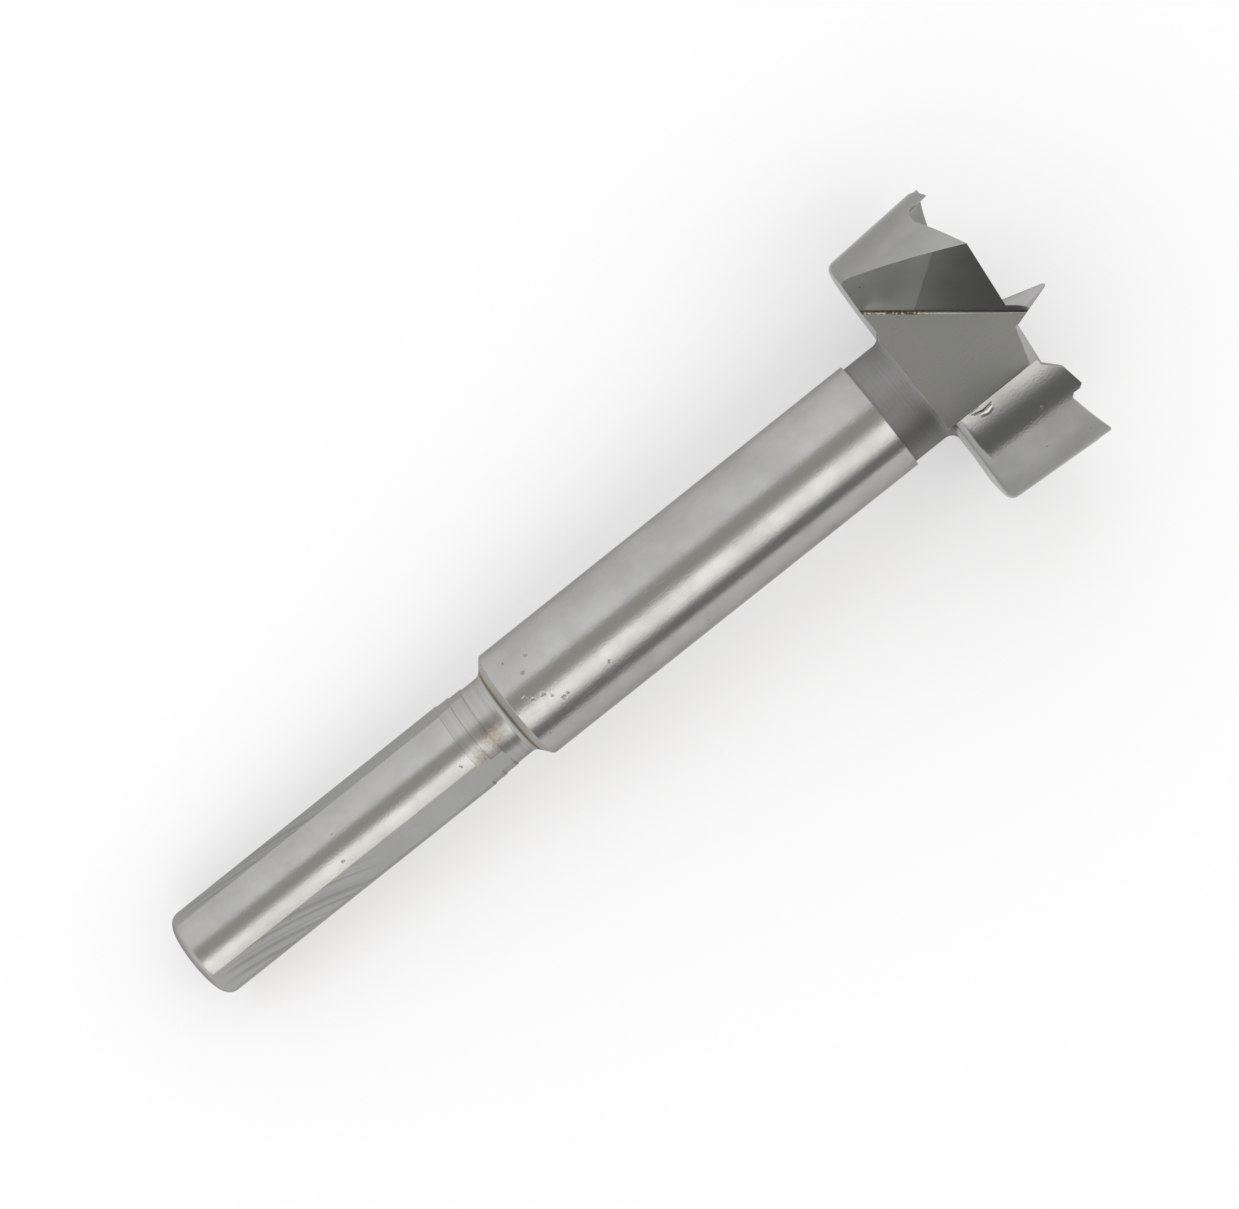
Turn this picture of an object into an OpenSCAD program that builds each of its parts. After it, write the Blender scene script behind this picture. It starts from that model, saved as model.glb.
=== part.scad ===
// Toothed-rim Forstner bit, ground from one steel blank.
// It is drawn upright, point up, and then laid down as it rests on a table.
// Azimuths run counter-clockwise seen from the point, which is the cutting direction.

/* [Shank] */
// Diameter of the chuck shank
shank_d = 8; // [6:0.5:13]
// Straight length of the shank, from its end to the turned neck
shank_l = 28; // [20:0.2:45]
// Radius of the rounded end of the shank
end_round = 0.9; // [0.4:0.1:2]
// Depth of the three chuck flats
flat_depth = 0.27; // [0.15:0.01:0.45]
// Azimuth of the first chuck flat
flat_azimuth = 78; // [60:1:100]

/* [Neck] */
// Diameter of the turned neck behind the body
neck_d = 7.5; // [5:0.1:9]
// Length of the neck, with its rings
neck_l = 4.3; // [3:0.1:8]
// Length of each turned ring
ring_l = 1.2; // [0.8:0.05:1.4]

/* [Body] */
// Diameter of the body
body_d = 10; // [9:0.5:14]
// Angle of the shoulder between neck and body
shoulder_angle = 51; // [30:1:60]
// Length of the body, with its shoulder
body_l = 38.4; // [25:0.2:60]

/* [Waist] */
// Diameter of the waist under the head
waist_d = 9.4; // [7:0.1:10]
// Length of the waist
waist_l = 3.9; // [2:0.1:8]
// Fillet from the waist to the back of the head
waist_fillet = 0.9; // [0.3:0.1:1.5]

/* [Head] */
// Cutting diameter at the rim
head_d = 25; // [20:0.5:40]
// Diameter at the back of the head
head_back_d = 24; // [19:0.5:39]
// Height from the back of the head to the lips
head_h = 9.4; // [8:0.1:14]
// Radius of the rounded back edge
back_round = 0.8; // [0.4:0.1:1.6]
// Thickness of the rim at its root
rim_t = 1.5; // [1.2:0.1:2.2]
// Thickness of the rim at its cutting edge
rim_edge_t = 0.3; // [0.1:0.05:0.6]
// Height of the bevel inside the rim
rim_bevel_h = 2.2; // [1:0.1:3]

/* [Lips and gullets] */
// Azimuth of the first lip
lip_azimuth = 240.5; // [235:0.5:246]
// Clearance angle behind the lips
lip_clearance = 19.5; // [12:0.5:24]
// Rake angle of the lips, from the axis
rake_angle = 31.5; // [25:0.5:36]
// Distance from the axis to the trailing wall of a gullet
gullet_wall_x = 4.27; // [3:0.05:6]
// Web between the two gullets at the lips
web_tip_t = 0.3; // [0.2:0.05:1]
// Web between the two gullets at the back of the head
web_back_t = 2.9; // [2:0.1:4]
// Depth of the gullets below the back of the head
gullet_sink = 0.35; // [0.2:0.05:1]

/* [Rim teeth] */
// Height of the tooth tips above the lips
tooth_rise = 0.37; // [0.1:0.01:0.8]
// Distance from the axis to the face of the first tooth
first_face_x = 11.2; // [10.5:0.1:11.6]
// Radius at the foot of the first tooth
first_foot_r = 1.1; // [0.4:0.1:1.6]
// Angle from the lip back to the second tooth
second_tooth_angle = 67.5; // [60:0.5:75]
// Angle from the lip back to the third tooth
third_tooth_angle = 110; // [102:0.5:114]
// Slope of the back of a tooth
tooth_slope = 10.5; // [6:0.5:14]
// Depth of the gap in front of a tooth
tooth_gap_depth = 1.4; // [0.8:0.05:1.8]
// Ramp at the foot of a tooth
tooth_foot = 0.4; // [0.2:0.05:0.8]
// Blunting of the second tooth
second_blunt = 0.1; // [0.05:0.05:0.5]
// Blunting of the third tooth
third_blunt = 0.4; // [0.05:0.05:0.5]
// Depth of the step at the trailing end of the rim
tail_depth = 1.75; // [0.5:0.05:2]
// Length of the step at the trailing end of the rim
tail_l = 0.6; // [0.5:0.1:2]

/* [Centre point] */
// Height of the centre point above the lips
point_h = 3.6; // [2:0.1:6]
// Radius of the centre point at the lips
point_r = 1.2; // [0.8:0.1:2]
// Radius of its tip
point_tip_r = 0.12; // [0.05:0.01:0.3]

/* [Hidden] */
$fn = 96;
steel = [0.63, 0.63, 0.61];
flat_count = 3;
wing_turns = [0, 180];

shank_r = shank_d / 2;
neck_r = neck_d / 2;
body_r = body_d / 2;
waist_r = waist_d / 2;
head_r = head_d / 2;
head_back_r = head_back_d / 2;

// Heights along the axis, from the end of the shank
neck_z = shank_l;
body_z = neck_z + neck_l;
shoulder_h = (body_r - neck_r) / tan(shoulder_angle);
waist_z = body_z + body_l;
back_z = waist_z + waist_l;
lip_z = back_z + head_h;
rim_z = lip_z + tooth_rise;
point_z = lip_z + point_h;

// Size of the blocks that stand for endless cutters
far = 2 * head_d;

// Half the angle that a chuck flat takes out of the shank
flat_half_angle = acos((shank_r - flat_depth) / shank_r);

// The way the first lip cuts, seen from the point
lead = [cos(lip_azimuth + 90), sin(lip_azimuth + 90)];

// Slopes of the flank behind the first lip, along X and along Y
flank_x = tan(lip_clearance) * lead.x;
flank_y = tan(lip_clearance) * lead.y;

// Distance from the centre of the first tooth's foot to the faces it joins,
// a little under its radius, so that it crosses them
foot_reach = 0.98 * first_foot_r;

// Azimuth of the trailing edge of the second wing
tail_azimuth = -acos(gullet_wall_x / head_r);

// The three points that touch the table: one lip's outer corner,
// the trailing edge of the other wing, and the edge of a chuck flat
lip_foot = [-head_r * cos(lip_azimuth), -head_r * sin(lip_azimuth), lip_z];
tail_foot = [
  -gullet_wall_x,
  sqrt(head_back_r * head_back_r - gullet_wall_x * gullet_wall_x),
  back_z + back_round
];
flat_edge_azimuth = flat_azimuth + flat_half_angle;
shank_foot = [
  shank_r * cos(flat_edge_azimuth),
  shank_r * sin(flat_edge_azimuth),
  end_round
];
table_cross = cross(tail_foot - lip_foot, shank_foot - lip_foot);
table_up = table_cross / norm(table_cross);
rest_roll = 180 - atan2(table_up.y, table_up.x);
rest_tilt = asin(table_up.z);
rest_height = -table_up * lip_foot;
rest_back_x = end_round * (cos(rest_tilt) - 1) - (shank_r - end_round) * sin(rest_tilt);
rest_front_x = point_z * cos(rest_tilt) + point_tip_r * sin(rest_tilt);

// Half section of the shank, with its rounded end
module shank_outline() {
  translate([0, end_round]) square([shank_r, neck_z - end_round]);
  square([shank_r - end_round, neck_z]);
  translate([shank_r - end_round, end_round]) circle(end_round);
}

// Half section of the neck: two turned rings that step down to its diameter
module neck_outline() {
  step = (shank_r - neck_r) / 3;
  polygon([
    [0, neck_z],
    [shank_r - step, neck_z],
    [shank_r - step, neck_z + ring_l],
    [neck_r + step, neck_z + ring_l],
    [neck_r + step, neck_z + 2 * ring_l],
    [neck_r, neck_z + 2 * ring_l],
    [neck_r, body_z],
    [0, body_z]
  ]);
}

// Half section of the body and the waist
module body_outline() {
  polygon([
    [0, body_z],
    [neck_r, body_z],
    [body_r, body_z + shoulder_h],
    [body_r, waist_z],
    [waist_r, waist_z],
    [waist_r, back_z],
    [0, back_z]
  ]);
  translate([waist_r, back_z - waist_fillet]) difference() {
    square(waist_fillet);
    translate([waist_fillet, 0]) circle(waist_fillet);
  }
}

// Half section of the head blank, with its rounded back edge
module head_outline() {
  polygon([
    [0, back_z],
    [head_back_r - back_round, back_z],
    [head_back_r - back_round, back_z + back_round],
    [head_back_r, back_z + back_round],
    [head_r, rim_z],
    [0, rim_z]
  ]);
  translate([head_back_r - back_round, back_z + back_round]) circle(back_round);
}

// The turned blank, before milling
module blank() {
  rotate_extrude() {
    shank_outline();
    neck_outline();
    body_outline();
    head_outline();
  }
}

// Everything above the flank of the first lip
module above_flank() {
  translate([0, 0, lip_z]) rotate([0, 0, lip_azimuth]) rotate([lip_clearance, 0, 0])
    translate([-far, -far, 0]) cube([2 * far, 2 * far, far]);
}

// The hollow inside the rim, before the flanks bound it from below
module rim_hollow() {
  rotate_extrude() polygon([
    [0, back_z],
    [head_r - rim_t, back_z],
    [head_r - rim_t, rim_z - rim_bevel_h],
    [head_r - rim_edge_t, rim_z],
    [head_r - rim_edge_t, point_z],
    [0, point_z]
  ]);
}

// The space where the flank of the first lip is ground out through the rim,
// up to the upright face of the first tooth, with a rounded foot there
module lip_relief() {
  fall = -atan(flank_y);
  slope = atan(flank_x * cos(fall));
  foot_x = foot_reach - first_face_x;
  foot_y = foot_x * tan(slope) + foot_reach / cos(slope);
  difference() {
    translate([-first_face_x, -head_d, back_z]) cube([first_face_x, head_d, point_z - back_z]);
    translate([0, 0, lip_z]) rotate([90 - fall, 0, 0])
      translate([foot_x, foot_y, -head_d]) linear_extrude(2 * head_d) difference() {
        translate([-2 * first_foot_r, -2 * first_foot_r])
          square([(2 + sin(slope)) * first_foot_r, 2 * first_foot_r]);
        circle(first_foot_r);
      }
  }
}

// All that is ground away above the flanks of the two lips
module flank_grind() {
  intersection() {
    union() {
      rim_hollow();
      for (turn = wing_turns) rotate(turn) lip_relief();
    }
    for (turn = wing_turns) rotate(turn) above_flank();
  }
}

// A saw gap in front of a tooth whose upright face is at the given azimuth
module tooth_gap(azimuth, blunt) {
  run = tooth_gap_depth / tan(tooth_slope);
  translate([0, 0, rim_z]) rotate([0, 0, azimuth]) rotate([90, 0, 90])
    translate([0, 0, head_r / 2]) linear_extrude(head_r) polygon([
      [0, tooth_foot - tooth_gap_depth],
      [tooth_foot, tooth_foot * tan(tooth_slope) - tooth_gap_depth],
      [run, 0],
      [run, point_h],
      [-blunt, point_h],
      [-blunt, 0],
      [0, -blunt]
    ]);
}

// The step at the trailing end of the second wing's rim, with a 45 degree ramp up
// to the sloping back of the third tooth
module tail_step() {
  slope = tan(tooth_slope);
  tip_x = head_r * sin(lip_azimuth - 180 - third_tooth_angle - tail_azimuth);
  ramp_x = (tail_l + tail_depth - tip_x * slope) / (1 - slope);
  translate([0, 0, rim_z]) rotate([0, 0, tail_azimuth]) rotate([90, 0, 90])
    translate([0, 0, head_r / 2]) linear_extrude(head_r) polygon([
      [-head_r / 2, -tail_depth],
      [tail_l, -tail_depth],
      [ramp_x, (ramp_x - tip_x) * slope],
      [tip_x, 0],
      [tip_x, point_h],
      [-head_r / 2, point_h]
    ]);
}

// A chip gullet: the rake face of the first lip, the flat web and the upright wall
module gullet() {
  web_lean = atan((web_back_t - web_tip_t) / 2 / head_h);
  intersection() {
    translate([gullet_wall_x - far, -far, back_z - gullet_sink]) cube(far);
    translate([0, 0, lip_z]) rotate([0, 0, lip_azimuth]) rotate([-rake_angle, 0, 0])
      translate([-far, 0, -far]) cube([2 * far, far, 2 * far]);
    translate([0, -web_tip_t / 2, lip_z]) rotate([-web_lean, 0, 0])
      translate([-far, -far, -far]) cube([2 * far, far, 2 * far]);
  }
}

// The three chuck flats on the shank
module shank_flats() {
  for (i = [0 : flat_count - 1]) rotate(flat_azimuth + i * 360 / flat_count)
    translate([shank_r - flat_depth, -shank_r, -shank_r])
      cube([shank_r, shank_d, shank_r + neck_z + 2 * ring_l]);
}

// The whole bit, upright on the end of its shank
module upright_bit() {
  difference() {
    union() {
      difference() {
        blank();
        flank_grind();
        for (turn = wing_turns) rotate(turn) {
          tooth_gap(lip_azimuth + 180 - second_tooth_angle, second_blunt);
          tooth_gap(lip_azimuth + 180 - third_tooth_angle, third_blunt);
          tail_step();
        }
        shank_flats();
      }
      translate([0, 0, lip_z - point_r])
        cylinder(h = point_r, r = point_r);
      translate([0, 0, lip_z]) cylinder(h = point_h, r1 = point_r, r2 = point_tip_r);
    }
    for (turn = wing_turns) rotate(turn) gullet();
  }
}

// The bit as it lies: on two corners of its rim and one edge of its shank
module forstner_bit() {
  color(steel)
    translate([-(rest_back_x + rest_front_x) / 2, 0, rest_height])
      rotate([0, 90 - rest_tilt, 0]) rotate([0, 0, rest_roll]) upright_bit();
}

forstner_bit();
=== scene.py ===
from math import cos, radians, sin

import bmesh
import bpy
from mathutils import Matrix, Vector


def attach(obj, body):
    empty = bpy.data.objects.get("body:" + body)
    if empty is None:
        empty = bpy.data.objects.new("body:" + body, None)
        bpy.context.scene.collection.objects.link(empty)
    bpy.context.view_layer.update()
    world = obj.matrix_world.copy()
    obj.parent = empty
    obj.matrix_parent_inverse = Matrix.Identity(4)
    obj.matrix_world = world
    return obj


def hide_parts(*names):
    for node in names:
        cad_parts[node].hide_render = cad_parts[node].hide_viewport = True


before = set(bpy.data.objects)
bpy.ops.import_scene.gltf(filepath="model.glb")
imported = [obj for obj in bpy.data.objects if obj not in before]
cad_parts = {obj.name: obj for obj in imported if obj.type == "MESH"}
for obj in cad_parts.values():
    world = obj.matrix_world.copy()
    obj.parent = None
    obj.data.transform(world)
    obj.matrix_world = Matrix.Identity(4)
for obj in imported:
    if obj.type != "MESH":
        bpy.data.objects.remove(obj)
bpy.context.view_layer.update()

# The bit is one steel bar, turned, milled and ground. Its shape is worked on along
# its own axis, in millimetres from the end of the shank with the point up, and then
# laid down with the shank's end on the table and the point a little raised.
millimetre = 0.001
axis_tilt = 5.24012
axis_roll = 276.17794
shank_end = Vector((-0.04347898, 0, 0.00375899))
lay_down = (
    Matrix.Translation(shank_end)
    @ Matrix.Rotation(radians(90 - axis_tilt), 4, "Y")
    @ Matrix.Rotation(radians(axis_roll), 4, "Z")
    @ Matrix.Scale(millimetre, 4)
)
weld_distance = 0.0002
flat_angle = radians(0.4)
shortest_edge = 0.03

steel = bmesh.new()
steel.from_mesh(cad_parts["forstner_bit"].data)
steel.transform(lay_down.inverted())
bmesh.ops.remove_doubles(steel, verts=steel.verts, dist=weld_distance)
bmesh.ops.dissolve_limit(
    steel, angle_limit=flat_angle, verts=steel.verts, edges=steel.edges
)
bmesh.ops.dissolve_degenerate(steel, dist=shortest_edge, edges=steel.edges)
steel.normal_update()

# The centre point is a plain cone on the end of the web, turned from the same bar.
# Its few facets are split, and the new corners are moved out to the true cone.
point_base_z, point_base_r = 84, 1.2
point_tip_z, point_tip_r = 87.6, 0.12
point_splits = 2
point_shortest_edge = 0.002
margin = 0.01


def point_faces():
    """The faces of the cone, without its blunt tip."""
    middles = [(f, f.calc_center_median()) for f in steel.faces]
    return [
        f
        for f, m in middles
        if point_base_z < m.z < point_tip_z - margin and m.xy.length < point_base_r
    ]


def edges_of(faces):
    return list(dict.fromkeys(e for f in faces for e in f.edges))


def corners_of(faces):
    return list(dict.fromkeys(v for f in faces for v in f.verts))


bmesh.ops.triangulate(steel, faces=point_faces())
bmesh.ops.subdivide_edges(
    steel, edges=edges_of(point_faces()), cuts=point_splits, use_grid_fill=True
)
for corner in corners_of(point_faces()):
    share = (corner.co.z - point_base_z) / (point_tip_z - point_base_z)
    radius = point_base_r + share * (point_tip_r - point_base_r)
    corner.co.xy = corner.co.xy.normalized() * radius
bmesh.ops.dissolve_degenerate(steel, dist=point_shortest_edge, edges=steel.edges)
steel.normal_update()

# Each surface has the finish of the tool that cut it. The faces are sorted by where
# they lie and which way they face: the second wing is the first one turned by 180
# degrees.
finishes = [
    "turned_steel",
    "chuck_flat_steel",
    "neck_steel",
    "waist_steel",
    "gullet_steel",
    "rim_steel",
    "rake_steel",
    "lip_steel",
    "point_steel",
    "valley_steel",
    "worn_edge_steel",
]
neck_z, rings_top_z, body_z = 28, 30.45, 33.3
waist_z, back_z = 70.7, 74.6
gullet_low_z = back_z - 1
shank_r, body_r, waist_r, rim_r = 4, 5, 4.7, 9
waist_flare = 0.7
point_r, point_z = 1.35, 83
flat_azimuths = (78, 198, 318)
flat_distance = 3.73
flat_parallel, parallel = 0.9998, 0.999
lip_azimuth = radians(240.5)
rake_angle = radians(31.5)
rake_azimuth = lip_azimuth + radians(90)
web_taper, gullet_height = 2.6, 9.4
rake_normal = Vector(
    (
        cos(rake_azimuth) * cos(rake_angle),
        sin(rake_azimuth) * cos(rake_angle),
        -sin(rake_angle),
    )
)
web_normal = Vector((0, -1, web_taper / 2 / gullet_height)).normalized()
wall_normal = Vector((-1, 0, 0))
first_wing = Matrix.Identity(3)
second_wing = Matrix.Rotation(radians(180), 3, "Z")


def is_facing(face, direction):
    """True for a flat face of either wing that faces the given way on the first wing."""
    ways = (direction, second_wing @ direction)
    return max(face.normal @ way for way in ways) > parallel


def finish_of(face):
    """The name of a face's finish."""
    middle = face.calc_center_median()
    radius = middle.xy.length
    if middle.z < rings_top_z:
        for azimuth in flat_azimuths:
            outward = Vector((cos(radians(azimuth)), sin(radians(azimuth)), 0))
            if (
                face.normal @ outward > flat_parallel
                and middle @ outward < flat_distance + margin
            ):
                return "chuck_flat_steel"
    if neck_z - margin < middle.z < body_z - margin:
        return "neck_steel"
    if waist_z - margin < middle.z < back_z and radius < waist_r + waist_flare:
        return "waist_steel"
    if middle.z > gullet_low_z and is_facing(face, rake_normal):
        return "lip_steel"
    if middle.z > gullet_low_z and (
        is_facing(face, web_normal) or is_facing(face, wall_normal)
    ):
        return "gullet_steel"
    if middle.z > back_z - margin and radius > rim_r:
        return "rim_steel"
    if middle.z > point_z and radius < point_r:
        return "point_steel"
    return "turned_steel"


for face in steel.faces:
    face.material_index = finishes.index(finish_of(face))

# The lips are ground again near their edge, down to a line across the rake face.
# Below it the face keeps the duller finish of the gullet.
grind_start = Vector((-7.3, -10.1, 81.6))
grind_end = Vector((-5.2, -1.6, 78.4))
cut_snap = 1e-5


def lip_faces(turn):
    """The faces of the lip on one wing."""
    lip_finish = finishes.index("lip_steel")
    return [
        f
        for f in steel.faces
        if f.material_index == lip_finish and f.normal @ (turn @ rake_normal) > parallel
    ]


def split_faces(faces, point, way):
    """Cuts some faces along a plane through a point."""
    bmesh.ops.bisect_plane(
        steel,
        geom=faces + edges_of(faces) + corners_of(faces),
        dist=cut_snap,
        plane_co=point,
        plane_no=way,
    )


for turn in (first_wing, second_wing):
    point = turn @ grind_start
    upward = (turn @ rake_normal).cross(turn @ (grind_end - grind_start))
    split_faces(lip_faces(turn), point, upward)
    for face in lip_faces(turn):
        if (face.calc_center_median() - point) @ upward < 0:
            face.material_index = finishes.index("rake_steel")

# Use has rounded every edge a little. The inner corners of the shoulder and of the
# gullets were left with a small radius by the cutter, and hold old dirt.
sharp_angle = radians(30)
edge_round, edge_steps = 0.03, 2
shoulder_round, shoulder_steps = 0.1, 4
corner_round, corner_steps = 0.35, 5
corner_z = 32.3
valley_round, valley_steps = 0.22, 5
valley_finish = finishes.index("valley_steel")
ring_margin = 0.03


def sharp_edges():
    return [e for e in steel.edges if e.calc_face_angle() > sharp_angle]


def is_valley(edge):
    """True in the corner between the rake face and the web of either wing."""
    first, second = (f.normal for f in edge.link_faces)
    for turn in (first_wing, second_wing):
        rake, web = turn @ rake_normal, turn @ web_normal
        if max(first @ rake + second @ web, second @ rake + first @ web) > 2 * parallel:
            return True
    return False


def is_ring(edge, height):
    return all(abs(v.co.z - height) < ring_margin for v in edge.verts)


def is_on_shank(edge):
    """True on the flats and the steps of the neck, which are too small to round."""
    return max(v.co.z for v in edge.verts) < rings_top_z


def is_on_point(edge):
    return any(v.co.xy.length < point_r and v.co.z > point_z for v in edge.verts)


def is_worn(edge):
    """True for the edges that only use has rounded."""
    beside_valley = valley_finish in [f.material_index for f in edge.link_faces]
    return not (is_on_shank(edge) or is_on_point(edge) or beside_valley)


def round_off(edges, width, steps, finish):
    made = bmesh.ops.bevel(
        steel,
        geom=edges,
        offset=width,
        offset_type="OFFSET",
        segments=steps,
        profile=0.5,
        affect="EDGES",
        clamp_overlap=False,
    )
    for face in made["faces"]:
        face.material_index = finishes.index(finish)


valleys = [e for e in sharp_edges() if is_valley(e)]
round_off(valleys, valley_round, valley_steps, "valley_steel")
shoulder = [e for e in sharp_edges() if is_ring(e, body_z)]
round_off(shoulder, shoulder_round, shoulder_steps, "turned_steel")
neck_corner = [e for e in sharp_edges() if is_ring(e, corner_z)]
round_off(neck_corner, corner_round, corner_steps, "neck_steel")
worn_edges = [e for e in sharp_edges() if is_worn(e)]
round_off(worn_edges, edge_round, edge_steps, "worn_edge_steel")

# One wing took a hard knock. It cut a slit into the ground rim and pushed up a burr
# beside it. A fine grid is cut into the rim there, and is pressed into that shape.
rim_low_z, rim_low_r = 75.4, 12.04
rim_high_z, rim_high_r = 84.4, 12.52
rim_taper = (rim_high_r - rim_low_r) / (rim_high_z - rim_low_z)
rim_finish = finishes.index("rim_steel")
nick_azimuth, nick_z = -67.6, 76.95
nick_out = Vector((cos(radians(nick_azimuth)), sin(radians(nick_azimuth)), 0))
nick_aside = Vector((-nick_out.y, nick_out.x, 0))
patch_facing = 0.9
patch_sides, patch_columns = (-0.25, 0.95), 34
patch_heights, patch_rows = (-1.05, 1.05), 35
patch_margin = 0.001
slit_line = [Vector((-0.05, -0.89)), Vector((0.17, 0)), Vector((0.05, 0.89))]
slit_width, slit_depth = 0.12, 0.13
burr_line = [Vector((0.34, -0.2)), Vector((0.5, 0.25)), Vector((0.36, 0.6))]
burr_width, burr_height = 0.28, 0.026


def from_nick(place):
    """How far a place is aside of the nick, and how far above it."""
    return Vector((place @ nick_aside, place.z - nick_z))


def overlaps(values, ends):
    return max(values) > ends[0] + patch_margin and min(values) < ends[1] - patch_margin


def patch_faces():
    """The faces of the rim that have a part inside the patch around the nick."""
    found = []
    for face in steel.faces:
        if face.material_index == rim_finish and face.normal @ nick_out >= patch_facing:
            sides, heights = zip(*(from_nick(v.co) for v in face.verts))
            if overlaps(sides, patch_sides) and overlaps(heights, patch_heights):
                found.append(face)
    return found


def grid_steps(ends, cells):
    """The two ends of the patch, and then the even steps between them."""
    low, high = ends
    return [low + (high - low) * i / cells for i in (0, cells, *range(1, cells))]


def nearness(spot, line, width):
    """1 on a bent line, falling to 0 at a distance of width from it."""
    gaps = []
    for start, end in zip(line, line[1:]):
        run = end - start
        share = min(max((spot - start) @ run / run.length_squared, 0), 1)
        gaps.append((spot - start - run * share).length)
    return max(1 - min(gaps) / width, 0)


def nick_lift(place):
    """How far the knock has moved the surface out at a place on the rim."""
    spot = from_nick(place)
    slit = nearness(spot, slit_line, slit_width) * max(1 - spot.y**2, 0)
    burr = nearness(spot, burr_line, burr_width)
    return burr_height * burr * burr * (3 - 2 * burr) - slit_depth * slit


for height in grid_steps(patch_heights, patch_rows):
    split_faces(patch_faces(), (0, 0, nick_z + height), (0, 0, 1))
for side in grid_steps(patch_sides, patch_columns):
    split_faces(patch_faces(), nick_aside * side, nick_aside)
for corner in corners_of(patch_faces()):
    radius = rim_low_r + rim_taper * (corner.co.z - rim_low_z) + nick_lift(corner.co)
    corner.co.xy = corner.co.xy.normalized() * radius
steel.normal_update()

# The worked steel becomes the one visible piece, laid down in its place. Its faces
# are shaded smooth, and stay crisp along the flats and wherever two cuts meet.
crease_angle = radians(35)
flat_finish = finishes.index("chuck_flat_steel")
for edge in steel.edges:
    borders_flat = [f.material_index for f in edge.link_faces].count(flat_finish) == 1
    edge.smooth = edge.calc_face_angle() < crease_angle and not borders_flat
for face in steel.faces:
    face.smooth = True
steel.transform(lay_down)
bit_mesh = bpy.data.meshes.new("forstner_bit_steel")
steel.to_mesh(bit_mesh)
steel.free()
bit = bpy.data.objects.new("forstner_bit_steel", bit_mesh)
bpy.context.scene.collection.objects.link(bit)
weigh = bit.modifiers.new("flat_faces", "WEIGHTED_NORMAL")
weigh.keep_sharp = True

# The turned surfaces are true cylinders and cones. Each is given here by the height
# and the radius of its two ends, and its shading follows it and not the mesh. The
# small facets of the point are taken whichever way they lean.
end_round_z = 0.95
turned_runs = [
    ((end_round_z, shank_r), (neck_z, shank_r)),
    ((body_z, body_r), (waist_z, body_r)),
    ((rim_low_z, rim_low_r), (rim_high_z, rim_high_r)),
    ((point_z, point_base_r), (point_base_z, point_base_r)),
    ((point_base_z, point_base_r), (point_tip_z, point_tip_r)),
]
run_margin = 0.06
least_match = 0.9
from_row = lay_down.inverted()
to_row = lay_down.to_quaternion()
weighed = bit.evaluated_get(bpy.context.evaluated_depsgraph_get()).to_mesh()
shading = [Vector(corner.vector) for corner in weighed.corner_normals]
for face in bit_mesh.polygons:
    if face.material_index == flat_finish:
        continue
    way = to_row.inverted() @ face.normal
    corners = [from_row @ bit_mesh.vertices[v].co for v in face.vertices]
    heights = [c.z for c in corners]
    if way @ nick_out > 0 and any(nick_lift(c) for c in corners):
        continue
    for (z0, r0), (z1, r1) in turned_runs:
        if min(heights) < z0 - margin or max(heights) > z1 + margin:
            continue
        slope = Vector((z1 - z0, r0 - r1)).normalized()
        true_ways = [
            Vector((*(c.xy.normalized() * slope.x), slope.y)) for c in corners
        ]
        if all(
            abs(c.xy.length - r0 - (c.z - z0) * (r1 - r0) / (z1 - z0)) < run_margin
            and true @ way > (0 if r0 < point_r else least_match)
            for c, true in zip(corners, true_ways)
        ):
            for corner, true in zip(face.loop_indices, true_ways):
                shading[corner] = to_row @ true
bit.modifiers.remove(weigh)
bit_mesh.normals_split_custom_set(shading)
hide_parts("forstner_bit")
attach(bit, "root")

# The steel is bare. Fine grain, soft clouds from handling, pits and hairline
# scratches run over all its finishes, so they are measured in the same millimetres
# along the bit's axis.
edge_tint = (0.62, 0.62, 0.61, 1)
# The colour of the pits also serves as the painted shade in the slit of the nick.
pit_and_shade_colour = (0.13, 0.115, 0.09, 1)


def add_node(tree, kind, inputs=None, **settings):
    """A node with its settings. An input is a number, a colour or a node's socket."""
    node = tree.nodes.new(kind)
    for name, value in settings.items():
        setattr(node, name, value)
    for name, value in (inputs or {}).items():
        if isinstance(value, bpy.types.NodeSocket):
            tree.links.new(value, node.inputs[name])
        else:
            node.inputs[name].default_value = value
    return node


def compute(tree, operation, *values):
    node = add_node(
        tree, "ShaderNodeMath", dict(enumerate(values)), operation=operation
    )
    return node.outputs[0]


def compute_vector(tree, operation, *values):
    node = add_node(
        tree, "ShaderNodeVectorMath", dict(enumerate(values)), operation=operation
    )
    return node.outputs


def distance_from(tree, first, second):
    """The length of the slope with two sides at right angles."""
    squares = [compute(tree, "MULTIPLY", side, side) for side in (first, second)]
    return compute(tree, "SQRT", compute(tree, "ADD", *squares))


def step_up(tree, value, low, high):
    """0 where the value is under low, 1 where it is over high."""
    node = add_node(
        tree,
        "ShaderNodeMapRange",
        {"Value": value, "From Min": low, "From Max": high},
        interpolation_type="SMOOTHSTEP",
    )
    return node.outputs[0]


def spread(tree, value, low, high):
    """A value from 0 to 1, moved to low to high."""
    node = add_node(
        tree, "ShaderNodeMapRange", {"Value": value, "To Min": low, "To Max": high}
    )
    return node.outputs[0]


def blend(tree, share, first, second):
    """The first colour where the share is 0, the second where it is 1."""
    node = add_node(
        tree, "ShaderNodeMix", {0: share, 6: first, 7: second}, data_type="RGBA"
    )
    return node.outputs[2]


def new_group(name, inputs, outputs):
    group = bpy.data.node_groups.new(name, "ShaderNodeTree")
    for way, sockets in (("INPUT", inputs), ("OUTPUT", outputs)):
        for label, kind in sockets.items():
            group.interface.new_socket(label, in_out=way, socket_type=kind)
    return group


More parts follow.
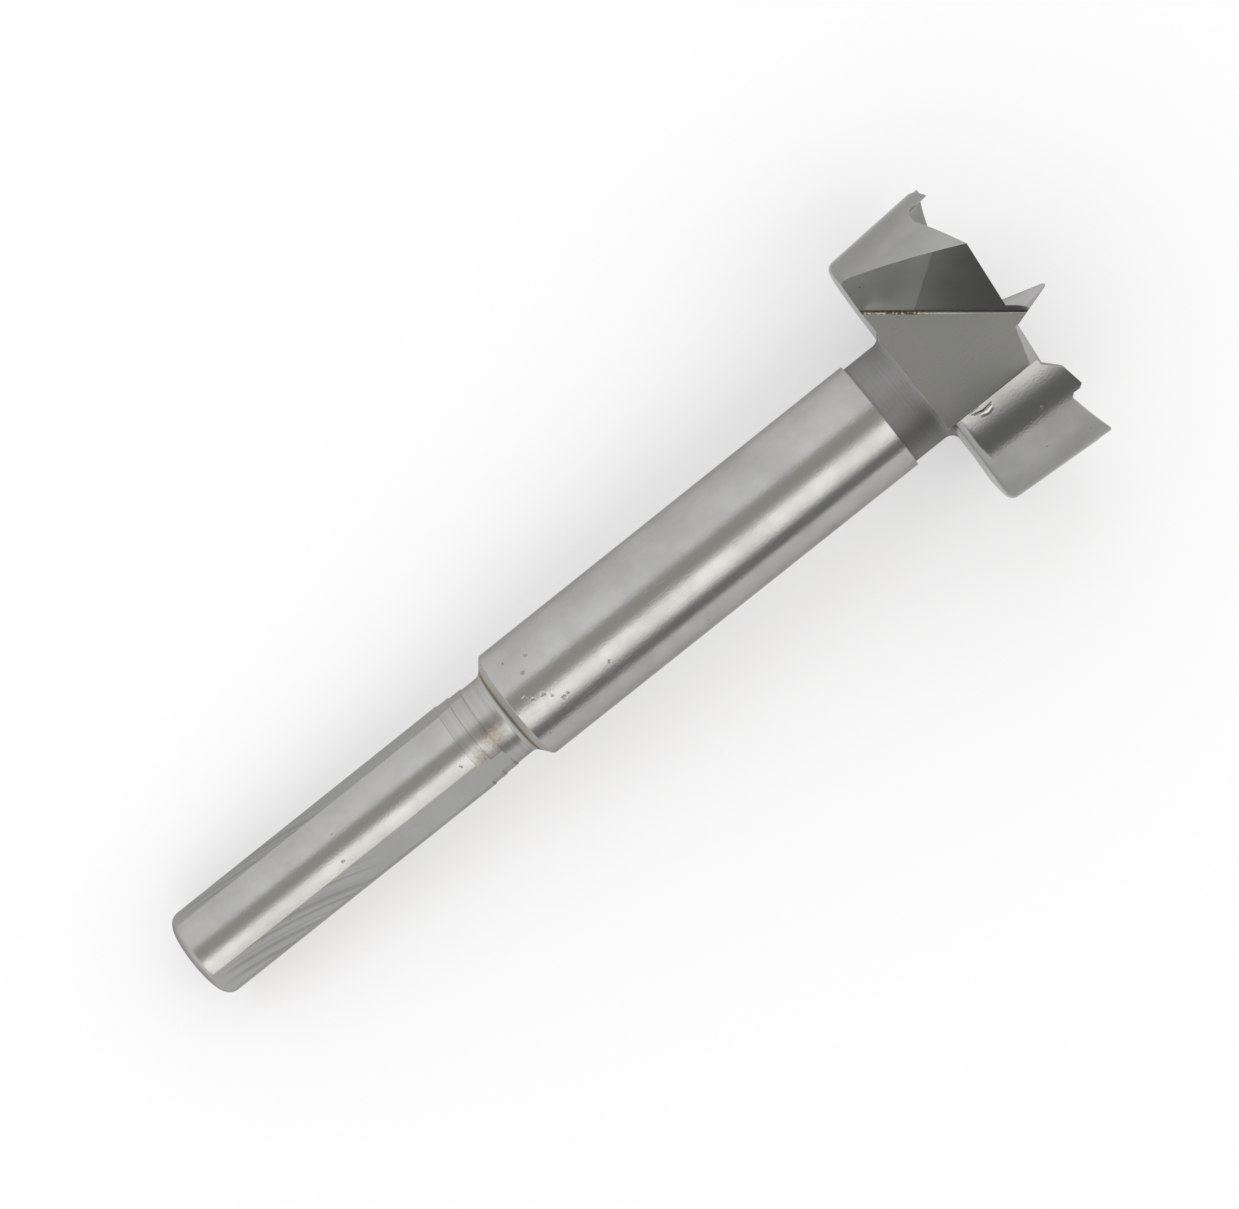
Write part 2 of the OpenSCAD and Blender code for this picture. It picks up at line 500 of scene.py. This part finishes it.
def give(group, results):
    """Links a group's results to its outputs."""
    end = group.nodes.new("NodeGroupOutput")
    for label, socket in results.items():
        group.links.new(socket, end.inputs[label])


value_socket, vector_socket = "NodeSocketFloat", "NodeSocketVector"

bit_frame = new_group(
    "bit_frame",
    {},
    {
        "Place": vector_socket,
        "Height": value_socket,
        "Radius": value_socket,
        "Azimuth": value_socket,
    },
)
surface = add_node(bit_frame, "ShaderNodeTexCoord")
place = add_node(
    bit_frame,
    "ShaderNodeMapping",
    {
        "Vector": surface.outputs["Object"],
        "Location": shank_end,
        "Rotation": to_row.to_euler(),
        "Scale": (millimetre,) * 3,
    },
    vector_type="TEXTURE",
).outputs[0]
x, y, z = add_node(bit_frame, "ShaderNodeSeparateXYZ", {0: place}).outputs
give(
    bit_frame,
    {
        "Place": place,
        "Height": z,
        "Radius": distance_from(bit_frame, x, y),
        "Azimuth": compute(bit_frame, "ARCTAN2", y, x),
    },
)

steel_skin = new_group(
    "steel_skin",
    {"Place": vector_socket},
    {
        "Grain": value_socket,
        "Cloud": value_socket,
        "Pits": value_socket,
        "Scratches": value_socket,
    },
)
place = steel_skin.nodes.new("NodeGroupInput").outputs["Place"]
grain = add_node(
    steel_skin, "ShaderNodeTexNoise", {"Vector": place, "Scale": 5, "Detail": 3}
).outputs[0]
cloud = add_node(
    steel_skin,
    "ShaderNodeTexNoise",
    {"Vector": place, "Scale": 0.24, "Detail": 3, "Roughness": 0.6},
).outputs[0]
cells = add_node(
    steel_skin, "ShaderNodeTexVoronoi", {"Vector": place, "Scale": 0.62}
)
patches = add_node(
    steel_skin, "ShaderNodeTexNoise", {"Vector": place, "Scale": 0.8, "Detail": 1}
).outputs[0]
pits = compute(
    steel_skin,
    "MULTIPLY",
    step_up(steel_skin, cells.outputs["Distance"], 0.09, 0.03),
    step_up(steel_skin, patches, 0.48, 0.6),
)
drawn_out = add_node(
    steel_skin, "ShaderNodeMapping", {"Vector": place, "Scale": (4.5, 4.5, 0.3)}
).outputs[0]
hairs = add_node(
    steel_skin, "ShaderNodeTexNoise", {"Vector": drawn_out, "Scale": 1, "Detail": 2}
).outputs[0]
give(
    steel_skin,
    {
        "Grain": grain,
        "Cloud": step_up(steel_skin, cloud, 0.3, 0.7),
        "Pits": pits,
        "Scratches": step_up(steel_skin, hairs, 0.62, 0.72),
    },
)

tool_lines = new_group(
    "tool_lines",
    {"Across": value_socket, "Spacing": value_socket},
    {"Lines": value_socket},
)
start = tool_lines.nodes.new("NodeGroupInput").outputs
counted = compute(tool_lines, "DIVIDE", start["Across"], start["Spacing"])
lines = add_node(
    tool_lines,
    "ShaderNodeTexNoise",
    {"W": counted, "Scale": 1, "Detail": 2},
    noise_dimensions="1D",
).outputs[0]
give(tool_lines, {"Lines": step_up(tool_lines, lines, 0.25, 0.75)})

spot = new_group(
    "spot",
    {
        "Place": vector_socket,
        "Centre": vector_socket,
        "Size": vector_socket,
        "Ragged": value_socket,
    },
    {"Mask": value_socket},
)
start = spot.nodes.new("NodeGroupInput").outputs
ripple = add_node(
    spot, "ShaderNodeTexNoise", {"Vector": start["Place"], "Scale": 3.5, "Detail": 2}
)
shift = compute_vector(spot, "SUBTRACT", ripple.outputs["Color"], (0.5, 0.5, 0.5))[0]
ragged = add_node(
    spot,
    "ShaderNodeVectorMath",
    {0: shift, "Scale": start["Ragged"]},
    operation="SCALE",
).outputs[0]
moved = compute_vector(spot, "ADD", start["Place"], ragged)[0]
offset = compute_vector(spot, "SUBTRACT", moved, start["Centre"])[0]
ratio = compute_vector(spot, "DIVIDE", offset, start["Size"])[0]
length = compute_vector(spot, "LENGTH", ratio)["Value"]
give(spot, {"Mask": step_up(spot, length, 1, 0.3)})


def bare_steel(name):
    """A new metal finish with its tree, its shader, its place on the bit and its skin."""
    material = bpy.data.materials.new(name)
    material.use_nodes = True
    bit_mesh.materials.append(material)
    tree = material.node_tree
    shader = tree.nodes["Principled BSDF"]
    shader.inputs["Metallic"].default_value = 1
    shader.inputs["Specular Tint"].default_value = edge_tint
    where = add_node(tree, "ShaderNodeGroup", node_tree=bit_frame).outputs
    skin = add_node(
        tree, "ShaderNodeGroup", {"Place": where["Place"]}, node_tree=steel_skin
    ).outputs
    return tree, shader, where, skin


def lines_over(tree, across, spacing):
    """The lines of a tool, by how far it went across them and their spacing."""
    node = add_node(
        tree,
        "ShaderNodeGroup",
        {"Across": across, "Spacing": spacing},
        node_tree=tool_lines,
    )
    return node.outputs[0]


def spot_on(tree, where, azimuth, radius, height, size, ragged):
    """The mask of a spot at an azimuth in degrees, a radius and a height."""
    centre = (radius * cos(radians(azimuth)), radius * sin(radians(azimuth)), height)
    node = add_node(
        tree,
        "ShaderNodeGroup",
        {
            "Place": where["Place"],
            "Centre": centre,
            "Size": size,
            "Ragged": ragged,
        },
        node_tree=spot,
    )
    return node.outputs[0]


def strongest(tree, *marks):
    """The strongest of some masks, each given with its strength."""
    most = 0.0
    for mask, strength in marks:
        mark = compute(tree, "MULTIPLY", mask, strength)
        most = compute(tree, "MAXIMUM", most, mark)
    return most


def bump(tree, height, depth):
    """The normal of a relief as deep as depth in metres."""
    inputs = {"Height": height, "Distance": depth}
    return add_node(tree, "ShaderNodeBump", inputs).outputs[0]


def finish_shader(tree, shader, colour, roughness, normal):
    tree.links.new(colour, shader.inputs["Base Color"])
    tree.links.new(roughness, shader.inputs["Roughness"])
    tree.links.new(normal, shader.inputs["Normal"])


# The shank and the body were turned and polished to a sandy shine. Knocks have left
# a row of small dents above the shoulder, and the last millimetre at the end of the shank
# is darker.
dents = [
    (-90.3, body_r, 34.57, 0.24),
    (-87.0, body_r, 34.85, 0.16),
    (-84.5, body_r, 35.08, 0.2),
    (-82.9, body_r, 35.95, 0.26),
    (-76.6, body_r, 36.44, 0.2),
    (-67.0, body_r, 37.11, 0.26),
    (-67.9, body_r, 37.61, 0.18),
    (-67.0, body_r, 41.72, 0.2),
    (-109.3, body_r, 35.70, 0.24),
    (-122.2, body_r, 36.71, 0.2),
    (-72.5, shank_r, 14.81, 0.2),
    (-72.7, shank_r, 27.10, 0.2),
]
dent_ragged, dent_depth = 0.5, 3


def knocks_on(tree, where, marks):
    """The mask of all the marks, each given by azimuth, radius, height and size."""
    knocks = 0.0
    for *middle, size in marks:
        mark = spot_on(tree, where, *middle, size=(size,) * 3, ragged=dent_ragged)
        knocks = compute(tree, "MAXIMUM", knocks, mark)
    return knocks


tree, shader, where, skin = bare_steel("turned_steel")
handled, polished = (0.365, 0.364, 0.354, 1), (0.416, 0.415, 0.405, 1)
rings = lines_over(tree, where["Height"], spacing=0.05)
knocks = knocks_on(tree, where, dents)
# The end of the shank is painted darker over its last millimetre.
end_darkening = step_up(tree, where["Height"], 0.8, 0.1)
dark = strongest(tree, (skin["Pits"], 0.75), (end_darkening, 0.45), (knocks, 0.45))
colour = blend(tree, skin["Cloud"], handled, polished)
colour = blend(tree, dark, colour, pit_and_shade_colour)
roughness = compute(
    tree,
    "ADD",
    spread(tree, skin["Cloud"], 0.24, 0.16),
    spread(tree, skin["Scratches"], 0, 0.06),
)
relief = compute(tree, "ADD", skin["Grain"], spread(tree, rings, 0, 0.3))
relief = compute(tree, "SUBTRACT", relief, skin["Pits"])
relief = compute(tree, "SUBTRACT", relief, spread(tree, knocks, 0, dent_depth))
finish_shader(tree, shader, colour, roughness, bump(tree, relief, depth=9e-6))

# The three flats for the chuck's jaws were ground by the face of a wheel, which
# crossed them in wide arcs and left them duller than the turned steel.
arc_centre_z, arc_centre_side = -2.8, 35
arc_spacing = 1.15
waver_spacing, waver_reach = 1.1, 1.6
tree, shader, where, skin = bare_steel("chuck_flat_steel")
ground, groove = (0.375, 0.376, 0.366, 1), (0.29, 0.291, 0.284, 1)
first_flat = compute(tree, "SUBTRACT", where["Azimuth"], radians(flat_azimuths[0]))
own_azimuth = compute(tree, "WRAP", first_flat, radians(60), radians(-60))
side = compute(tree, "MULTIPLY", where["Radius"], compute(tree, "SINE", own_azimuth))
from_side = compute(tree, "SUBTRACT", side, arc_centre_side)
from_end = compute(tree, "SUBTRACT", where["Height"], arc_centre_z)
across = distance_from(tree, from_side, from_end)
waver = spread(
    tree, lines_over(tree, across, waver_spacing), -waver_reach, waver_reach
)
passes = compute(tree, "MULTIPLY_ADD", across, radians(360) / arc_spacing, waver)
arcs = step_up(tree, compute(tree, "SINE", passes), -0.7, 1)
arcs = compute(tree, "MULTIPLY", arcs, step_up(tree, where["Height"], 18, 13))
arcs = compute(tree, "MULTIPLY", arcs, step_up(tree, where["Height"], 0.5, 3))
colour = blend(tree, arcs, ground, groove)
colour = blend(tree, strongest(tree, (skin["Pits"], 0.8)), colour, pit_and_shade_colour)
roughness = spread(tree, skin["Cloud"], 0.33, 0.24)
relief = compute(tree, "SUBTRACT", skin["Grain"], arcs)
finish_shader(tree, shader, colour, roughness, bump(tree, relief, depth=4e-6))

# The neck was turned in two steps and left as cut, and so was the shoulder above it,
# which is painted lighter and rougher as a painted sheen. Dirt has gathered in the corner
# between them, and two brown stains lie on the neck's rings.
dirt_z = corner_z + 0.3
tree, shader, where, skin = bare_steel("neck_steel")
valley, ridge = (0.35, 0.348, 0.338, 1), (0.41, 0.407, 0.396, 1)
shoulder_sheen_colour = (0.43, 0.427, 0.405, 1)
stain_colour, dirt_colour = (0.19, 0.155, 0.11, 1), (0.187, 0.153, 0.0765, 1)
rings = lines_over(tree, where["Height"], spacing=0.5)
upper = spot_on(tree, where, -78, 3.75, 30.6, size=(1.7, 1.7, 1.5), ragged=0.8)
lower = spot_on(tree, where, -68, 3.9, 28.9, size=(1.1, 1.1, 0.8), ragged=0.6)
stains = compute(tree, "MAXIMUM", upper, lower)
stains = compute(tree, "MULTIPLY", stains, spread(tree, skin["Grain"], 0, 1.1))
from_dirt = compute(tree, "SUBTRACT", where["Height"], dirt_z)
dirt = step_up(tree, compute(tree, "ABSOLUTE", from_dirt), 0.2, 0.05)
# Painted sheen: the shoulder cone above the corner is painted lighter and made rougher.
shoulder_sheen = step_up(tree, where["Height"], corner_z - 0.1, corner_z + 0.1)
colour = blend(tree, rings, valley, ridge)
colour = blend(tree, shoulder_sheen, colour, shoulder_sheen_colour)
colour = blend(tree, stains, colour, stain_colour)
colour = blend(tree, strongest(tree, (dirt, 0.8)), colour, dirt_colour)
roughness = compute(
    tree,
    "ADD",
    spread(tree, skin["Cloud"], 0.32, 0.24),
    spread(tree, shoulder_sheen, 0, 0.25),
)
relief = compute(tree, "ADD", rings, skin["Grain"])
finish_shader(tree, shader, colour, roughness, bump(tree, relief, depth=3e-6))

# The waist under the head was turned with a coarse feed and never polished, so it
# is the dullest part of the bit. A dark smear lies on one side of it.
tree, shader, where, skin = bare_steel("waist_steel")
valley, ridge = (0.221, 0.22, 0.218, 1), (0.264, 0.263, 0.262, 1)
smear_colour = (0.11, 0.11, 0.107, 1)
rings = lines_over(tree, where["Height"], spacing=0.1)
smear = spot_on(tree, where, -58, waist_r, 71.8, size=(3.4, 3.4, 4.5), ragged=0.6)
colour = blend(tree, rings, valley, ridge)
colour = blend(tree, strongest(tree, (smear, 0.65)), colour, smear_colour)
colour = blend(tree, skin["Pits"], colour, pit_and_shade_colour)
roughness = spread(tree, skin["Cloud"], 0.56, 0.46)
relief = compute(tree, "ADD", rings, skin["Grain"])
finish_shader(tree, shader, colour, roughness, bump(tree, relief, depth=8e-6))

# The gullets in front of the lips were milled, and have the cutter's faint lines
# along the web.
tree, shader, where, skin = bare_steel("gullet_steel")
handled, milled = (0.313, 0.328, 0.306, 1), (0.336, 0.346, 0.345, 1)
feed = lines_over(tree, where["Height"], spacing=0.16)
colour = blend(tree, skin["Cloud"], handled, milled)
colour = blend(tree, skin["Pits"], colour, pit_and_shade_colour)
roughness = spread(tree, skin["Cloud"], 0.32, 0.25)
finish_shader(tree, shader, colour, roughness, bump(tree, feed, depth=1e-6))

# The outside of the rim was ground to size after the teeth were cut, so it is the
# brightest surface. In the nick the slit is painted dark as painted shade in its recess,
# and the burr beside it is painted bright as a painted highlight.
wing_r = 12.2
specks = [(-54.7, wing_r, 76.57, 0.22), (-53.0, wing_r, 80.73, 0.2)]
tree, shader, where, skin = bare_steel("rim_steel")
handled, polished = (0.302, 0.302, 0.292, 1), (0.35, 0.35, 0.339, 1)
burr_highlight_colour = (0.5, 0.498, 0.485, 1)
cone_foot_r = rim_low_r - rim_taper * rim_low_z
ground_r = compute(tree, "MULTIPLY_ADD", where["Height"], rim_taper, cone_foot_r)
lift = compute(tree, "SUBTRACT", where["Radius"], ground_r)
near = spot_on(
    tree, where, nick_azimuth, wing_r, nick_z, size=(1.3, 1.3, 1.5), ragged=0
)
# Painted highlight on the raised burr, and painted shade in the slit.
burr = compute(tree, "MULTIPLY", near, step_up(tree, lift, 0.002, 0.03))
slit = compute(tree, "MULTIPLY", near, step_up(tree, lift, -0.015, -0.08))
knocks = knocks_on(tree, where, specks)
dark = strongest(tree, (skin["Pits"], 0.6), (slit, 0.6), (knocks, 0.4))
colour = blend(tree, skin["Cloud"], handled, polished)
colour = blend(tree, burr, colour, burr_highlight_colour)
colour = blend(tree, dark, colour, pit_and_shade_colour)
roughness = compute(
    tree,
    "ADD",
    spread(tree, skin["Cloud"], 0.17, 0.12),
    spread(tree, skin["Scratches"], 0, 0.04),
)
knocked_in = spread(tree, knocks, 0, dent_depth)
relief = compute(tree, "SUBTRACT", skin["Grain"], knocked_in)
finish_shader(tree, shader, colour, roughness, bump(tree, relief, depth=7e-6))

# The rake faces were milled together with the gullets. Below the ground lips they
# still have the even, pale finish of the cutter.
tree, shader, where, skin = bare_steel("rake_steel")
handled, milled = (0.58, 0.583, 0.565, 1), (0.63, 0.63, 0.614, 1)
colour = blend(tree, skin["Cloud"], handled, milled)
colour = blend(tree, skin["Pits"], colour, pit_and_shade_colour)
roughness = spread(tree, skin["Cloud"], 0.4, 0.34)
finish_shader(tree, shader, colour, roughness, bump(tree, skin["Grain"], depth=3e-6))

# The lips are the two cutting edges of the head. They were ground across their edge
# on a fine wheel, which leaves short strokes and a dark even finish.
tree, shader, where, skin = bare_steel("lip_steel")
groove, ground = (0.41, 0.412, 0.402, 1), (0.46, 0.462, 0.45, 1)
lip_way = (cos(lip_azimuth), sin(lip_azimuth), 0)
along_lip = compute_vector(tree, "DOT_PRODUCT", where["Place"], lip_way)["Value"]
strokes = lines_over(tree, along_lip, spacing=0.12)
colour = blend(tree, strokes, groove, ground)
roughness = spread(tree, skin["Cloud"], 0.38, 0.33)
relief = compute(tree, "ADD", strokes, skin["Grain"])
finish_shader(tree, shader, colour, roughness, bump(tree, relief, depth=4e-6))

# The centre point was turned to a plain cone. Wood has rubbed it dull, with a fine
# grain of lighter and darker steel.
tree, shader, where, skin = bare_steel("point_steel")
dull, bright = (0.39, 0.39, 0.385, 1), (0.49, 0.489, 0.48, 1)
colour = blend(tree, skin["Grain"], dull, bright)
roughness = spread(tree, skin["Cloud"], 0.6, 0.52)
finish_shader(tree, shader, colour, roughness, bump(tree, skin["Grain"], depth=4e-6))

# Brown residue of old chips sits in the low end of the corner between lip and web,
# and the rest of the corner shines.
tree, shader, where, skin = bare_steel("valley_steel")
shine, residue_colour = (0.306, 0.302, 0.276, 1), (0.111, 0.0808, 0.0467, 1)
residue = compute(
    tree,
    "MULTIPLY",
    step_up(tree, where["Height"], 80, 77.5),
    step_up(tree, skin["Grain"], 0.35, 0.6),
)
colour = blend(tree, residue, shine, residue_colour)
roughness = spread(tree, residue, 0.25, 0.6)
finish_shader(tree, shader, colour, roughness, bump(tree, skin["Grain"], depth=6e-6))

# The edges of the head and the body are the same steel, rounded by wear. Wood and
# hands have rubbed them bright.
tree, shader, where, skin = bare_steel("worn_edge_steel")
handled, rubbed_bright = (0.357, 0.355, 0.346, 1), (0.442, 0.44, 0.428, 1)
colour = blend(tree, skin["Cloud"], handled, rubbed_bright)
roughness = spread(tree, skin["Cloud"], 0.3, 0.2)
finish_shader(tree, shader, colour, roughness, bump(tree, skin["Grain"], depth=5e-6))

# The floor is a plain white card, matt, with a soft light behind it. Only the camera
# and the steel see that light, so the card is white and still takes the shadow.
reach = 3
card_glow = 0.34
floor_mesh = bpy.data.meshes.new("white_card")
floor_mesh.from_pydata(
    [(-reach, -reach, 0), (reach, -reach, 0), (reach, reach, 0), (-reach, reach, 0)],
    [],
    [(0, 1, 2, 3)],
)
floor = bpy.data.objects.new("white_card", floor_mesh)
bpy.context.scene.collection.objects.link(floor)
card = bpy.data.materials.new("white_card")
card.use_nodes = True
tree = card.node_tree
shader = tree.nodes["Principled BSDF"]
shader.inputs["Base Color"].default_value = (0.598, 0.599, 0.607, 1)
shader.inputs["Roughness"].default_value = 0.9
shader.inputs["Emission Color"].default_value = (1, 1, 1, 1)
rays = add_node(tree, "ShaderNodeLightPath").outputs
seen = compute(tree, "MAXIMUM", rays["Is Camera Ray"], rays["Is Glossy Ray"])
seen = compute(tree, "MAXIMUM", seen, rays["Is Transmission Ray"])
glow = compute(tree, "MULTIPLY", seen, card_glow)
tree.links.new(glow, shader.inputs["Emission Strength"])
floor_mesh.materials.append(card)

# The studio has long soft panels that run along the bit. Their level changes with
# the angle around its axis, from one side of the table over the top to the other.
# Two more panels stand beyond its ends.
plain, warm, brown = (1, 1, 1), (1, 0.992, 0.96), (1, 0.955, 0.9)
panels = [
    (-180, 1.02, plain),
    (-84, 1.05, plain),
    (-28, 1.24, plain),
    (-20, 1.18, plain),
    (-13, 0.61, brown),
    (9, 0.56, brown),
    (18, 0.84, brown),
    (27, 1.9, warm),
    (42, 1.88, warm),
    (54, 1.55, warm),
    (61, 0.8, plain),
    (68, 0.3, plain),
    (86, 0.28, plain),
    (96, 0.7, plain),
    (180, 0.7, plain),
]
end_level = 1.12
end_start, end_full = 0.5, 0.7
world = bpy.data.worlds.new("studio")
bpy.context.scene.world = world
world.use_nodes = True
tree = world.node_tree
sky = add_node(tree, "ShaderNodeTexCoord").outputs["Generated"]
x, y, z = add_node(tree, "ShaderNodeSeparateXYZ", {0: sky}).outputs
around = compute(tree, "ARCTAN2", compute(tree, "MULTIPLY", y, -1), z)
part_round = add_node(
    tree,
    "ShaderNodeMapRange",
    {"Value": around, "From Min": radians(-180), "From Max": radians(180)},
).outputs[0]
ramp = add_node(tree, "ShaderNodeValToRGB", {0: part_round})
stops = ramp.color_ramp.elements
for i, (angle, level, tint) in enumerate(panels):
    position = (angle + 180) / 360
    stop = stops[i] if i < 2 else stops.new(position)
    stop.position = position
    stop.color = [level * share for share in tint] + [1]
ends = step_up(tree, compute(tree, "ABSOLUTE", x), end_start, end_full)
light = blend(tree, ends, ramp.outputs["Color"], (end_level,) * 3 + (1,))
background = tree.nodes["Background"]
tree.links.new(light, background.inputs["Color"])
background.inputs["Strength"].default_value = 1

# The camera looks almost straight down, and is turned so that the bit runs up to
# the right.
camera_data = bpy.data.cameras.new("camera")
camera_data.lens = 109.73
camera_data.sensor_width = 36
camera_data.clip_start = 0.01
camera = bpy.data.objects.new("camera", camera_data)
bpy.context.scene.collection.objects.link(camera)
bpy.context.scene.camera = camera
look_azimuth = radians(-12.58)
look_height = radians(83.06)
look_roll = radians(-25.46)
look_at = Vector((0.00118, 0.00115, 0.008))
look_distance = 0.305
back = Vector(
    (
        cos(look_height) * sin(look_azimuth),
        -cos(look_height) * cos(look_azimuth),
        sin(look_height),
    )
)
level_right = Vector((cos(look_azimuth), sin(look_azimuth), 0))
level_up = back.cross(level_right)
right = level_right * cos(look_roll) + level_up * sin(look_roll)
up = level_up * cos(look_roll) - level_right * sin(look_roll)
camera.matrix_world = (
    Matrix.Translation(look_at + back * look_distance)
    @ Matrix((right, up, back)).transposed().to_4x4()
)
bpy.context.scene.view_settings.view_transform = "Standard"
